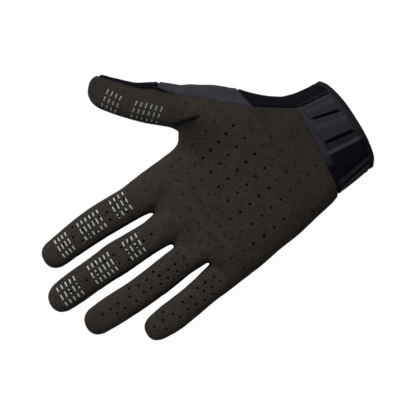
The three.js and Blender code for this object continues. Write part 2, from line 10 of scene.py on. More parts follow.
import bmesh
import bpy
import numpy as np
from mathutils import Matrix, Vector, noise
from mathutils.bvhtree import BVHTree
from mathutils.kdtree import KDTree


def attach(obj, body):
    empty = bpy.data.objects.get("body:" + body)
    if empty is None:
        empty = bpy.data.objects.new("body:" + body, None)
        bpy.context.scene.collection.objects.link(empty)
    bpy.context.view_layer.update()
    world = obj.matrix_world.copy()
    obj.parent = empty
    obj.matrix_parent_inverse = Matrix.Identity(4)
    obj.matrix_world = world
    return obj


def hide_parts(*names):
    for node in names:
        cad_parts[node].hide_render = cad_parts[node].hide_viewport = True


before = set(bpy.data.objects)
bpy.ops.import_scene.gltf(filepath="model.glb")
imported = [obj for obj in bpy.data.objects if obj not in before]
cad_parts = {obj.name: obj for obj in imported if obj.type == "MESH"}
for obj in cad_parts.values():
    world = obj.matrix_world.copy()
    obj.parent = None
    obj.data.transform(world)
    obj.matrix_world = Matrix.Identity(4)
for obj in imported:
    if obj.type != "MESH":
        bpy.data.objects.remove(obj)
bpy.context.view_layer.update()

MM = 0.001

# Sizes of the glove, as in the part
PALM_LENGTH = 118
PALM_THICKNESS = 26
SEAM_Y = -61
WEB_Y = SEAM_Y + PALM_LENGTH
CUFF_LENGTH = 27
CUFF_BOW = 6
CUFF_WIDTH = 71.5
CUFF_THICKNESS = 22
KNUCKLE_WIDTH = 100.5
FLOOR_SINK = 0.9  # how much roundness the floor presses flat
TIP_CURL = 6  # how far the middle fingertip is off the floor
CURL_START = 70  # Y past which the fingers lift
PART_LEVEL = 5.44  # Z of the seam between the palm side and the back
ABOVE = 60  # Z that is over all of the glove

# Each digit's root in plan, free length, width and thickness
DIGITS = {
    "little": dict(x=-44.88, y=40.95, length=63.2, width=20.6, thick=14.5),
    "ring": dict(x=-18.93, y=57, length=79.2, width=21.1, thick=15.5),
    "middle": dict(x=6.37, y=57, length=91.7, width=22.5, thick=16),
    "index": dict(x=33.07, y=57, length=79.5, width=24.5, thick=16),
    "thumb": dict(x=0, y=0, length=66, width=25, thick=18.5),
}
THUMB_ROOT = (57.99, 12.99)

# Sections along each digit: share of the length, width, sideways shift, thickness
DIGIT_SECTIONS = {
    "little": [
        (-0.3, 1.05, 0.21, 1.2), (0, 1.07, 0.141, 1.08), (0.174, 1.015, 0.066, 1),
        (0.427, 0.985, -0.061, 0.97), (0.68, 0.995, -0.138, 0.92),
        (0.839, 0.91, -0.165, 0.86),
    ],
    "ring": [
        (-0.215, 1.01, 0.035, 1.2), (0, 0.985, 0.007, 1.08), (0.139, 1.014, -0.05, 1),
        (0.543, 0.981, -0.171, 0.95), (0.745, 0.99, -0.18, 0.9), (0.87, 0.94, -0.19, 0.86),
    ],
    "middle": [
        (-0.185, 1.09, 0, 1.2), (0, 1.03, 0, 1.08), (0.098, 0.96, -0.015, 1),
        (0.403, 1.031, -0.018, 0.98), (0.556, 0.973, -0.045, 0.94),
        (0.731, 0.96, -0.087, 0.9), (0.872, 0.924, -0.125, 0.86),
    ],
    "index": [
        (-0.214, 1.118, 0.006, 1.2), (0, 1.03, -0.004, 1.08), (0.113, 0.955, -0.002, 1),
        (0.39, 0.94, 0.018, 0.98), (0.591, 0.894, -0.008, 0.94), (0.767, 0.85, -0.06, 0.9),
        (0.88, 0.79, -0.096, 0.86),
    ],
    "thumb": [
        (-0.548, 1.31, 0.825, 1.1), (-0.28, 1.385, 0.76, 1.15), (-0.033, 1.328, 0.664, 1.1),
        (0.088, 1.184, 0.648, 1.02), (0.255, 1.18, 0.618, 0.98), (0.391, 1.104, 0.576, 0.94),
        (0.542, 1, 0.536, 0.9), (0.709, 0.96, 0.548, 0.86), (0.815, 0.916, 0.57, 0.82),
    ],
}
TIP_SHIFT = {"little": -0.175, "ring": -0.2, "middle": -0.15, "index": -0.09, "thumb": 0.64}

# Sections along the palm: share of its length, left, right, middle level, rise, drop
PALM_SECTIONS = [
    (0.034, -0.366, 0.415, 0.4, 0.5, 0.4), (0.068, -0.388, 0.444, 0.41, 0.53, 0.41),
    (0.144, -0.406, 0.525, 0.42, 0.57, 0.42), (0.212, -0.422, 0.612, 0.42, 0.58, 0.42),
    (0.381, -0.461, 0.735, 0.42, 0.58, 0.42), (0.483, -0.473, 0.73, 0.41, 0.58, 0.41),
    (0.631, -0.498, 0.555, 0.38, 0.55, 0.38), (0.653, -0.501, 0.516, 0.37, 0.54, 0.37),
    (0.69, -0.505, 0.488, 0.36, 0.53, 0.36), (0.822, -0.52, 0.472, 0.31, 0.45, 0.31),
    (0.847, -0.4, 0.47, 0.3, 0.43, 0.3), (0.864, -0.304, 0.468, 0.29, 0.41, 0.29),
    (0.881, -0.28, 0.466, 0.29, 0.39, 0.29), (0.941, -0.275, 0.461, 0.27, 0.32, 0.27),
    (0.975, -0.272, 0.455, 0.26, 0.22, 0.2), (0.996, -0.27, 0.448, 0.26, 0.09, 0.09),
]
# Sections along the cuff: share of its length, left, right, thickness
CUFF_SECTIONS = [
    (-1.35, -0.47, 0.495, 0.99), (-0.9, -0.47, 0.497, 1), (-0.3, -0.494, 0.52, 1.01),
    (0, -0.506, 0.55, 1.03),
]
# Every section: its widest line as a share of the thickness, and how square its curve is
WIDEST_LEVEL = 0.42
DIGIT_POWER, BODY_POWER, UNDERSIDE_POWER = 2.5, 3.1, 3.2

# Seams in plan
SIDE_SEAM = [
    (130, 48), (122, 41), (115, 36), (105, 27), (100, 23), (94, 17), (91, 12), (85, 7),
    (80, 1), (75, -5), (70, -10), (65, -15.5), (60, -20), (56, -24), (50, -31.5), (45, -38),
    (40, -45), (35, -53), (30, -60.5), (28.3, -63.5), (27, -68), (26, -76), (25, -85),
    (24.3, -92), (23.6, -104),
]
HEEL_SEAM = [
    (-60, -57.2), (-37, -57.2), (-33.4, -58.7), (-20, -59.9), (-10, -61.2), (0, -62),
    (10, -62.5), (20, -62.9), (28.5, -63.1), (60, -63.3),
]
HEM_WIDTH = 3.2
HEM_SPAN = 0.497  # half the hem's bow, as a share of the cuff's width
HEM_POWER = 2.6
# The hem's rounded corners: side, where it begins and ends, rise
HEM_CORNERS = [(-1, 27, 34, 1.7), (1, 30, 37, 1.2)]


def smooth_curve(rows, column, at):
    """A table's column read along its first column, on a curve that never overshoots."""
    x = np.array([row[0] for row in rows], float)
    y = np.array([row[column] for row in rows], float)
    rise = np.diff(y) / np.diff(x)
    slope = np.zeros(len(x))
    slope[0], slope[-1] = rise[0], rise[-1]
    both = rise[:-1] * rise[1:]
    safe = np.where(rise[:-1] + rise[1:] == 0, 1, rise[:-1] + rise[1:])
    slope[1:-1] = np.where(both > 0, 2 * both / safe, 0)
    i = np.clip(np.searchsorted(x, at) - 1, 0, len(x) - 2)
    gap = x[i + 1] - x[i]
    t = np.clip((at - x[i]) / gap, 0, 1)
    return (
        (2 * t**3 - 3 * t**2 + 1) * y[i]
        + (t**3 - 2 * t**2 + t) * gap * slope[i]
        + (3 * t**2 - 2 * t**3) * y[i + 1]
        + (t**3 - t**2) * gap * slope[i + 1]
    )


def smoothstep(value, low, high):
    t = np.clip((value - low) / (high - low), 0, 1)
    return t * t * (3 - 2 * t)


def curl(y):
    """How far the fingers are lifted off the surface."""
    share = np.maximum(0, (y - CURL_START) / (WEB_Y + DIGITS["middle"]["length"] - CURL_START))
    return TIP_CURL * share * share


def thumb_place(x, y):
    """A place in plan read along and across the thumb."""
    dx, dy = x - THUMB_ROOT[0], y - THUMB_ROOT[1]
    return (dx + dy) * math.sqrt(0.5), (dx - dy) * math.sqrt(0.5)


def line_distance(line, x, y):
    """Signed distance in plan from a line of points: positive on its left side."""
    best = np.full(np.shape(x), 1e9)
    sign = np.ones(np.shape(x))
    for (ax, ay), (bx, by) in zip(line, line[1:]):
        ex, ey = bx - ax, by - ay
        t = np.clip(((x - ax) * ex + (y - ay) * ey) / (ex * ex + ey * ey), 0, 1)
        qx, qy = x - ax - t * ex, y - ay - t * ey
        far = np.hypot(qx, qy)
        nearer = far < best - 1e-9
        best = np.where(nearer, far, best)
        sign = np.where(nearer, np.where(ex * qy - ey * qx >= 0, 1, -1), sign)
    return best * sign


def rounded(points, steps=6):
    """A line of points made smooth."""
    out = []
    for i in range(len(points) - 1):
        p = [np.array(points[min(max(i + k, 0), len(points) - 1)], float) for k in (-1, 0, 1, 2)]
        for s in range(steps):
            t = s / steps
            out.append(tuple(0.5 * (
                2 * p[1] + (p[2] - p[0]) * t
                + (2 * p[0] - 5 * p[1] + 4 * p[2] - p[3]) * t**2
                + (3 * p[1] - p[0] - 3 * p[2] + p[3]) * t**3)))
    out.append(tuple(points[-1]))
    return out


side_seam = rounded(SIDE_SEAM, 4)


def heel_seam(x):
    return smooth_curve(HEEL_SEAM, 1, x)


def hem_line(x):
    """The Y of the cuff's edge: a bow with its corners rounded off."""
    share = np.minimum(1, np.abs(x) / (HEM_SPAN * CUFF_WIDTH))
    corner = sum(rise * smoothstep(side * x, a, b) for side, a, b, rise in HEM_CORNERS)
    return SEAM_Y - CUFF_LENGTH - CUFF_BOW * (1 - share**HEM_POWER) + corner


# The smooth skin

RING_STEP = 2.2
CUFF_RINGS, PALM_RINGS = 22, 60
DIGIT_SIDES, BODY_SIDES = 48, 96
TIP_DEGREES = (10, 20, 30, 40, 50, 59, 67, 74, 80, 85)
TIP_POWER = 0.85
PRESSED_TO = 0.96  # share of the palm's length past which its underside isn't pressed flat
VOXEL = 0.9
SMOOTHINGS = 7


def tube(bm, rings, sides):
    """A closed tube: a circle is extruded from ring to ring and closed at both ends."""
    loop = bmesh.ops.create_circle(bm, cap_ends=False, segments=sides, radius=1)["verts"]
    angles = [math.atan2(v.co.y, v.co.x) for v in loop]
    for i, ring in enumerate(rings):
        if i:
            members = set(loop)
            edges = [e for e in set(e for v in loop for e in v.link_edges)
                     if e.verts[0] in members and e.verts[1] in members]
            made = bmesh.ops.extrude_edge_only(bm, edges=edges)["geom"]
            fresh = {g for g in made if isinstance(g, bmesh.types.BMVert)}
            loop = [next(e.other_vert(v) for e in v.link_edges if e.other_vert(v) in fresh)
                    for v in loop]
        for v, angle in zip(loop, angles):
            v.co = section_point(ring, angle)
    ends = [e for e in bm.edges if e.is_boundary]
    bmesh.ops.holes_fill(bm, edges=ends, sides=0)


def section_point(ring, angle):
    """A point of a rounded section at an angle: above its widest line and below it."""
    c, s = math.cos(angle), math.sin(angle)
    power = ring["power"] if s > 0 else UNDERSIDE_POWER
    across = math.copysign(abs(c) ** (2 / power), c)
    up = math.copysign(abs(s) ** (2 / power), s)
    x = (ring["left"] + ring["right"]) / 2 + (ring["right"] - ring["left"]) / 2 * across
    z = ring["mid"] + (ring["rise"] if s > 0 else ring["drop"]) * up
    bow = ring.get("bow", 0) * (1 - abs(across) ** 4)
    return Vector((x, ring["y"] - bow, z))


def digit_rings(name):
    size = DIGITS[name]
    rows = DIGIT_SECTIONS[name]
    last = rows[-1]
    shares = list(np.arange(rows[0][0], last[0], RING_STEP / size["length"])) + [last[0]]
    places = [(s, *(float(smooth_curve(rows, k, s)) for k in (1, 2, 3)), 1.0) for s in shares]
    for degrees in TIP_DEGREES:
        a = math.radians(degrees)
        share = last[0] + (1 - last[0]) * math.sin(a)
        shift = last[2] + (TIP_SHIFT[name] - last[2]) * math.sin(a)
        end = math.cos(a) ** TIP_POWER
        places.append((share, last[1] * end, shift, last[3], end))
    rings = []
    for share, wide, shift, thick, end in places:
        y = size["y"] + share * size["length"]
        lift = 0 if name == "thumb" else float(curl(y))
        mid = WIDEST_LEVEL * size["thick"] * min(1, thick + 0.08)
        x = size["x"] + shift * size["width"]
        half = wide * size["width"] / 2
        rings.append(dict(
            y=y, left=x - half, right=x + half, mid=mid + lift, power=DIGIT_POWER,
            rise=(thick * size["thick"] - mid) * end, drop=(mid + FLOOR_SINK) * end))
    return rings


def body_rings():
    rings = []
    for share in np.linspace(CUFF_SECTIONS[0][0], 0, CUFF_RINGS):
        left, right, thick = (float(smooth_curve(CUFF_SECTIONS, k, share)) for k in (1, 2, 3))
        mid = WIDEST_LEVEL * CUFF_THICKNESS * thick
        rings.append(dict(
            y=SEAM_Y + share * CUFF_LENGTH, left=left * CUFF_WIDTH, right=right * CUFF_WIDTH,
            mid=mid, rise=CUFF_THICKNESS * thick - mid, drop=mid + FLOOR_SINK,
            power=BODY_POWER, bow=-CUFF_BOW * share))
    for share in np.linspace(PALM_SECTIONS[0][0], PALM_SECTIONS[-1][0], PALM_RINGS):
        left, right, mid, rise, drop = (
            float(smooth_curve(PALM_SECTIONS, k, share)) for k in range(1, 6))
        sink = FLOOR_SINK if share <= PRESSED_TO else 0
        rings.append(dict(
            y=SEAM_Y + share * PALM_LENGTH, left=left * KNUCKLE_WIDTH,
            right=right * KNUCKLE_WIDTH, mid=mid * PALM_THICKNESS, power=BODY_POWER,
            rise=rise * PALM_THICKNESS, drop=drop * PALM_THICKNESS + sink))
    return rings


def mesh_from(bm, name):
    """The mesh of a bmesh, which is freed."""
    mesh = bpy.data.meshes.new(name)
    bm.to_mesh(mesh)
    bm.free()
    return mesh


def add_mesh(whole, bm):
    """Adds one bmesh, which is freed, to another."""
    mesh = mesh_from(bm, "part")
    whole.from_mesh(mesh)
    bpy.data.meshes.remove(mesh)


def object_from(data, name):
    made = bpy.data.objects.new(name, data)
    bpy.context.scene.collection.objects.link(made)
    return made


def discard(made):
    mesh = made.data
    bpy.data.objects.remove(made)
    bpy.data.meshes.remove(mesh)


def with_modifiers(made):
    """The object's mesh with its modifiers applied. The object itself is removed."""
    bpy.context.view_layer.update()
    shown = made.evaluated_get(bpy.context.evaluated_depsgraph_get())
    mesh = bpy.data.meshes.new_from_object(shown)
    discard(made)
    return mesh


def glove_form():
    """The whole glove as one closed smooth form."""
    bm = bmesh.new()
    for name in DIGITS:
        first = len(bm.verts)
        tube(bm, digit_rings(name), DIGIT_SIDES)
        if name == "thumb":
            bm.verts.ensure_lookup_table()
            place = Matrix.Translation((*THUMB_ROOT, 0)) @ Matrix.Rotation(-math.pi / 4, 4, "Z")
            bmesh.ops.transform(bm, matrix=place, verts=bm.verts[first:])
    tube(bm, body_rings(), BODY_SIDES)
    bmesh.ops.recalc_face_normals(bm, faces=bm.faces)
    block = object_from(mesh_from(bm, "form"), "form")
    remesh = block.modifiers.new("skin", "REMESH")
    remesh.mode = "VOXEL"
    remesh.voxel_size = VOXEL
    mesh = with_modifiers(block)
    bm = bmesh.new()
    bm.from_mesh(mesh)
    bpy.data.meshes.remove(mesh)
    for _ in range(SMOOTHINGS):
        bmesh.ops.smooth_vert(bm, verts=bm.verts, factor=0.5, use_axis_x=True,
                              use_axis_y=True, use_axis_z=True)
    for v in bm.verts:
        v.co.z = max(v.co.z, 0)
    return bm


# Panels: which one holds a point of the skin

PALM, BACK, THUMB_BACK, SLATE, CUFF, HEM, STRIP_A, STRIP_B, STRIP_C, OPEN = range(10)
STRIPS = [
    ("little", "ring", STRIP_A), ("ring", "middle", STRIP_B), ("middle", "index", STRIP_C),
]
EDGE_RISE = 2.4  # how far the knit climbs the palm's edge on the little finger's side
THUMB_START, SLATE_END = 0.04, 0.3  # shares of the thumb's length
BAND_WIDTH = 2.4  # the knit between the suede and the mesh, on the thumb
# The strips between the fingers: lap on a finger as a share of its width, start before the web,
# taper and end before the tips, reach below and above the seam, climb on the far side
STRIP_LAP = 0.33
STRIP_BEGIN, STRIP_TAPER, STRIP_END = 9, 34, 11
STRIP_BELOW, STRIP_ABOVE, STRIP_CLIMB = 2.6, 0.7, 4.7


def panel_of(p):
    """The panel that each point belongs to."""
    x, y, z = p[:, 0], p[:, 1], p[:, 2]
    lift = curl(y)
    v, u = thumb_place(x, y)
    past_side = line_distance(side_seam, x, y)
    on_side = past_side > 0
    ulnar = smoothstep(y, -56, -46) * (1 - smoothstep(y, 84, 101)) * (x < -34)
    ulnar *= np.where(y > 41, x < -45, True)
    lower = z < PART_LEVEL + lift + EDGE_RISE * ulnar
    in_thumb = (v > THUMB_START * DIGITS["thumb"]["length"]) & (u > -12)
    band = (past_side < BAND_WIDTH * smoothstep(v, 3, 20)) & (v > 4)
    panel = np.full(len(x), PALM)
    panel[y < heel_seam(x)] = CUFF
    panel[lower] = BACK
    panel[lower & in_thumb] = THUMB_BACK
    past_slate = v > SLATE_END * DIGITS["thumb"]["length"]
    panel[on_side] = SLATE
    panel[on_side & (past_slate | band)] = THUMB_BACK
    panel[on_side & (y < -38.6 + 0.12 * (x - 47))] = BACK
    for left, right, strip in STRIPS:
        a, b = DIGITS[left], DIGITS[right]
        left_edge, right_edge = a["x"] + a["width"] / 2, b["x"] - b["width"] / 2
        web = (left_edge + right_edge) / 2
        reach = min(a["y"] + a["length"], b["y"] + b["length"])
        fade = 1 - smoothstep(y, reach - STRIP_TAPER, reach - STRIP_END)
        high = (STRIP_ABOVE + STRIP_CLIMB * smoothstep(x, web - 1.5, web + 1.5)) * fade
        inside = x > left_edge - STRIP_LAP * a["width"]
        inside &= x < right_edge + STRIP_LAP * b["width"]
        inside &= (y > min(a["y"], b["y"]) - STRIP_BEGIN) & (y < reach - STRIP_END)
        level = z - PART_LEVEL - lift
        panel[inside & (level < high) & (level > -STRIP_BELOW * fade)] = strip
    hem = hem_line(x)
    panel[y < hem + HEM_WIDTH] = HEM
    panel[y < hem] = OPEN
    return panel


def coordinates(bm):
    return np.array([v.co for v in bm.verts])


SNAP_SHARE = 0.36  # a vertex nearer to a border than this share of its edge moves onto it
HALVINGS = 12  # of an edge, to find the border on it


def part_skin(bm):
    """Cuts the skin's faces along the panels' borders. Border vertices get the mark -1."""
    mark = bm.verts.layers.int.new("panel")
    bm.verts.index_update()
    bm.edges.ensure_lookup_table()
    bm.verts.ensure_lookup_table()
    at = coordinates(bm)
    panel = panel_of(at)
    ends = np.array([[e.verts[0].index, e.verts[1].index] for e in bm.edges])
    crossing = np.nonzero(panel[ends[:, 0]] != panel[ends[:, 1]])[0]
    start, stop = at[ends[crossing, 0]], at[ends[crossing, 1]]
    low, high = start, stop
    own = panel[ends[crossing, 0]]
    for _ in range(HALVINGS):
        middle = (low + high) / 2
        same = (panel_of(middle) == own)[:, None]
        low = np.where(same, middle, low)
        high = np.where(same, high, middle)
    meet = (low + high) / 2
    share = np.linalg.norm(meet - start, axis=1) / np.linalg.norm(stop - start, axis=1)
    nearest = {}
    for k, e in enumerate(crossing):
        for end, gone in ((0, share[k]), (1, 1 - share[k])):
            i = ends[e, end]
            if gone < SNAP_SHARE and gone < nearest.get(i, (1,))[0]:
                nearest[i] = (gone, k)
    for v, value in zip(bm.verts, panel):
        v[mark] = int(value)
    for i, (_, k) in nearest.items():
        bm.verts[i].co = meet[k]
        bm.verts[i][mark] = -1
    edges = [(bm.edges[e], k) for k, e in enumerate(crossing)
             if ends[e, 0] not in nearest and ends[e, 1] not in nearest]
    for edge, k in edges:
        _, v = bmesh.utils.edge_split(edge, edge.verts[0], 0.5)
        v.co = meet[k]
        v[mark] = -1
    border = [v for v in bm.verts if v[mark] == -1]
    bmesh.ops.connect_verts(bm, verts=border)
    bm.faces.index_update()
    middle = np.array([f.calc_center_median() for f in bm.faces])
    face_mark = bm.faces.layers.int.new("panel")
    for f, value in zip(bm.faces, panel_of(middle)):
        seen = {v[mark] for v in f.verts} - {-1}
        f[face_mark] = seen.pop() if len(seen) == 1 else int(value)


# Relief of the skin, along its normals

CUFF_LINES = {
    "seam": (28.3, -63, 24.4, -92), "bevel_a": (22.4, -68, 20, -87),
    "slit_a": (16.2, -67.6, 11.1, -86.8), "bevel_b": (9.8, -68, 6, -87),
    "slit_b": (-2.3, -65.8, -5.7, -88), "bevel_c": (-9.2, -65, -11.2, -88),
    "far_bevel": (-30.8, -62, -27.4, -88), "slit_c": (-33.2, -62, -29.2, -86),
    "side": (-36.5, -62, -34, -88),
}
# Across the cuff: line, sideways step from it, height
CUFF_PROFILE = [
    ("side", -4, 0.05), ("side", 0, 0.25), ("slit_c", -0.9, 0.5), ("slit_c", 0.9, 0.2),
    ("far_bevel", 0.3, 0.35), ("far_bevel", 4.4, 1.2), ("bevel_c", -2, 1.15),
    ("bevel_c", 0.5, 0.15), ("slit_b", -1.2, 0.3), ("slit_b", 1.2, 0.75), ("bevel_b", -2.2, 1.2),
    ("bevel_b", 0.8, 0.35), ("slit_a", -1.1, 0.3), ("slit_a", 1.1, 0.75), ("bevel_a", -1.8, 1.1),
    ("bevel_a", 1, 0.35), ("seam", -2, 0.3), ("seam", 0, 0), ("seam", 4, 0),
]
# Slits cut into the pads: depth, half width at the top and at the foot
SLITS = {"slit_a": (1.9, 0.7, 1.15), "slit_b": (2.1, 1.15, 1.5), "slit_c": (1.4, 0.9, 1)}
PAD_TOP, PAD_FOOT = 3.6, 0.6  # from the pads to the heel's seam and to the hem
PAD_EDGE = 1.4  # width of the slope at their ends


def cuff_line(name, y):
    x0, y0, x1, y1 = CUFF_LINES[name]
    return x0 + (x1 - x0) * np.clip((y - y0) / (y1 - y0), -0.2, 1.2)


def slit_reach(name, x, y):
    """How far a place lies from a slit's middle, in half widths, and the slit's share there."""
    _, y0, _, y1 = CUFF_LINES[name]
    _, top, foot = SLITS[name]
    half = foot + (top - foot) * smoothstep(y, y1, y0)
    share = smoothstep(y, y1 - 0.7, y1 + 0.9) * (1 - smoothstep(y, y0 - 4, y0 + 0.4))
    return np.abs(x - cuff_line(name, y)) / half, share


def cuff_relief(x, y):
    """Heights of the cuff's moulded pads, slits and ridge."""
    places = np.array([cuff_line(name, y) + step for name, step, _ in CUFF_PROFILE])
    heights = np.array([height for _, _, height in CUFF_PROFILE])
    out = np.zeros(len(x))
    out[x <= places[0]] = heights[0]
    for k in range(len(heights) - 1):
        a, b = places[k], places[k + 1]
        inside = (x > a) & (x <= b)
        t = smoothstep(x, a, np.maximum(b, a + 0.01))
        out = np.where(inside, heights[k] + (heights[k + 1] - heights[k]) * t, out)
    top = heel_seam(x) - PAD_TOP
    foot = hem_line(x) + HEM_WIDTH + PAD_FOOT
    out *= smoothstep(y, foot, foot + PAD_EDGE) * (1 - smoothstep(y, top - PAD_EDGE, top))
    for name, (depth, _, _) in SLITS.items():
        away, share = slit_reach(name, x, y)
        out -= depth * np.exp(-((away / 0.9) ** 4)) * share
    return out


def cuff_painted_shade(x, y):
    """Painted shade on the cuff, from 0 to 1: over its flat middle pad, in its gap by the ridge,
    in its slits' bottoms, under the heel's seam and along the hem's left end.
    """
    left = cuff_line("far_bevel", y) + 2.2
    ridge = cuff_line("bevel_c", y)
    slit = cuff_line("slit_b", y)
    shade = smoothstep(x, left - 1.4, left + 0.8) * (1 - smoothstep(x, ridge - 1.9, ridge - 1.1))
    seam = heel_seam(x)
    shade *= 1 - 0.5 * smoothstep(y, seam - 5, seam - 4.4) * smoothstep(x, -20, -14)
    pads = 1 - smoothstep(y, seam - 5, seam - 4)
    gap = smoothstep(x, ridge + 0.6, ridge + 1.6) * (1 - smoothstep(x, slit - 0.6, slit + 0.4))
    shade = np.maximum(shade, 0.62 * gap * pads)
    for name in SLITS:
        away, share = slit_reach(name, x, y)
        shade = np.maximum(shade, (1 - smoothstep(away, 0.5, 1.05)) * share)
    under_heel = 1 - smoothstep(seam - y, 1.2, 4.2)
    shade = np.maximum(shade, 0.95 * under_heel * (1 - smoothstep(x, -24, -10)))
    hem_top = hem_line(x) + HEM_WIDTH
    by_hem = 1 - smoothstep(y, hem_top - 0.3, hem_top + 0.9)
    return np.maximum(shade, 0.75 * by_hem * (1 - smoothstep(x, -16, -8)))


# Soft folds in plan: points, depth, width
FOLDS = [
    ([(-31, -46), (-27, -50), (-22.5, -53.5)], 0.35, 1.3),
    ([(-26, -44), (-22.5, -47.5), (-19, -50.5)], 0.22, 1.1),
    ([(44, -20), (36, -30), (31, -42)], 0.3, 3.0),
    ([(-43, 30), (-36, 27), (-29, 26)], 0.2, 2.2),
    ([(22, 52), (30, 50.5), (38, 50), (44, 51)], 0.25, 2.2),
    ([(-4, 51), (4, 50), (13, 51)], 0.2, 2.2),
    ([(-22, 73), (-16, 74), (-11, 73)], 0.2, 1.8),
    ([(-50, 75), (-45, 76.5), (-40, 75.5)], 0.18, 1.8),
]


def bell(away, width):
    """1 at the middle of a ridge or dip, falling to nothing past its width."""
    return np.exp(-((away / width) ** 2))


SWELL_RISE, CREASE_DEPTH = 2.6, 3.4


def thumb_swell(x, y):
    """The cloth rises towards the thumb's crease from both sides, and dips in the crease."""
    away = x - (57.2 + 0.18 * (y + 4.5))
    rise = np.where(away <= 0, bell(away, 17), bell(away, 10)) * bell(y - 2, 16)
    width = 1.2 + 1.5 * smoothstep(y, -2, 12)
    crease = bell(away, width) * smoothstep(y, -9, -1) * (1 - smoothstep(y, 11, 16))
    return SWELL_RISE * rise - CREASE_DEPTH * crease


def fold_depth(x, y):
    out = np.zeros(len(x))
    for points, depth, width in FOLDS:
        line = rounded(points, 4)
        away = np.abs(line_distance(line, x, y))
        out += depth * bell(away, width)
    return out


def distances(points, places):
    """How far each point is from the nearest place."""
    tree = KDTree(len(places))
    for i, place in enumerate(places):
        tree.insert(place, i)
    tree.balance()
    return np.array([tree.find(p)[2] for p in points])


# The dip round a perforation and its lip, then a seam's valley and the rolls beside it:
# depth and width of the first, height, distance and width of the second
DIMPLE = (0.35, 1.1, 0.12, 2.1, 0.7)
SEAM_VALLEY = (0.8, 0.8, 0.2, 1.9, 0.9)
# Soft unevenness of the cloth: height, size of the waves, place in the noise
UNEVEN = [(0.30, 17, (0, 0, 0)), (0.14, 6.5, (9, 4, 2))]


def valley(away, form):
    """How deep the skin dips round a hole or seam, less the lip beside the dip."""
    depth, width, lip, lip_away, lip_width = form
    return depth * bell(away, width) - lip * bell(away - lip_away, lip_width)


def hole_dimples(x, y):
    """The shallow dip that a punch leaves round each perforation, with its raised lip."""
    places = [(hx, hy, 0) for hx, hy, _ in holes]
    return valley(distances([(a, b, 0) for a, b in zip(x, y)], places), DIMPLE)


def shape_skin(bm):
    """Seam valleys, folds, the cuff's moulding and the cloth's soft unevenness."""
    mark = bm.verts.layers.int["panel"]
    face_mark = bm.faces.layers.int["panel"]
    refine = {e for f in bm.faces if f[face_mark] in (CUFF, HEM) for e in f.edges}
    bmesh.ops.subdivide_edges(bm, edges=list(refine), cuts=1, use_grid_fill=True)
    bm.normal_update()
    for v in bm.verts:
        panels = {f[face_mark] for f in v.link_faces}
        v[mark] = -1 if len(panels) > 1 else panels.pop()
    seam = [v.co for v in bm.verts if v[mark] == -1
            and OPEN not in {f[face_mark] for f in v.link_faces}]
    at = coordinates(bm)
    x, y, z = at.T
    up = np.array([v.normal.z for v in bm.verts])
    top = smoothstep(up, 0.1, 0.6)
    past_hem = smoothstep(y, hem_line(x) + HEM_WIDTH, hem_line(x) + HEM_WIDTH + 3)
    height = -valley(distances([v.co for v in bm.verts], seam), SEAM_VALLEY)
    height *= 0.25 + 0.75 * past_hem
    height += thumb_swell(x, y) * smoothstep(up, 0.35, 0.8) - fold_depth(x, y) * top
    height -= hole_dimples(x, y) * top
    uneven = np.array([
        sum(high * noise.noise(Vector(p) / size + Vector(move)) for high, size, move in UNEVEN)
        for p in at])
    height += uneven * smoothstep(z, 1, 5)
    cuff = (y < heel_seam(x)) & (line_distance(side_seam, x, y) < 4)
    height += np.where(cuff, cuff_relief(x, y), 0) * smoothstep(z, 3, 9)
    for v, h in zip(bm.verts, height):
        v.co += v.normal * float(h)
        v.co.z = max(v.co.z, 0)


# Painted shade and painted light on the suede, as soft patches in plan: x, y, reach across,
# reach along, change
SUEDE_SHADE_PATCHES = [
    (56, 9, 11, 12, -0.34), (42, -1, 20, 14, -0.3), (-42, -26, 13, 44, -0.16),
    (12, -46, 46, 24, -0.22), (90, 28, 26, 24, -0.1), (-46, 12, 8, 22, -0.04),
    (24, 62, 46, 40, 0.04), (57.6, 4, 3, 8, -0.4), (2, 2, 40, 34, -0.06),
    (113, 45, 10, 10, -0.2), (71, 7, 9, 9, -0.18),
]


def suede_shade_and_light(x, y):
    # Painted shade and painted light: a tone that scales the suede's colour, darker on the
    # thumb, in its crease and hollow, towards the wrist and on the little finger's side, lighter
    # towards the fingers.
    tone = np.ones(len(x))
    for cx, cy, across, along, change in SUEDE_SHADE_PATCHES:
        tone += change * np.exp(-(((x - cx) / across) ** 2) - ((y - cy) / along) ** 2)
    return tone


def thumb_dash_shade(x, y):
    """1 on the thumb, where the dashes get a painted shade, and 0 on the fingers."""
    return (x > THUMB_DASHES_FROM).astype(float)


def paint_shade(mesh, tone):
    """Writes a tone, worked out in plan, on the mesh's points."""
    at = np.array([v.co for v in mesh.vertices])
    shade = mesh.attributes.new("shade", "FLOAT", "POINT")
    shade.data.foreach_set("value", tone(at[:, 0], at[:, 1]))


def panel_mesh(bm, panel):
    """One panel's faces on their own."""
    own = bm.copy()
    mark = own.faces.layers.int["panel"]
    others = [f for f in own.faces if f[mark] != panel]
    bmesh.ops.delete(own, geom=others, context="FACES")
    return own


SHARP_DEGREES = 55


def finish_piece(mesh, name, nodes, material):
    """A finished mesh as a piece of the glove, scaled to metres."""
    mesh.transform(Matrix.Scale(MM, 4))
    mesh.name = name
    piece = object_from(mesh, name)
    mesh.materials.clear()
    mesh.materials.append(material)
    mesh.polygons.foreach_set("use_smooth", [True] * len(mesh.polygons))
    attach(piece, "root")
    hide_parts(*nodes)


def walled(bm, name, wall=0, cutters=None):
    """A panel with its thickness, where it has one, and its perforations cut through."""
    sheet = object_from(mesh_from(bm, name), name)
    if wall:
        thick = sheet.modifiers.new("wall", "SOLIDIFY")
        thick.thickness = wall
        thick.offset = -1
        thick.use_rim = True
    if cutters is not None:
        punch = sheet.modifiers.new("holes", "BOOLEAN")
        punch.operation = "DIFFERENCE"
        punch.object = cutters
        punch.solver = "EXACT"
    mesh = with_modifiers(sheet)
    mesh.set_sharp_from_angle(angle=math.radians(SHARP_DEGREES))
    return mesh


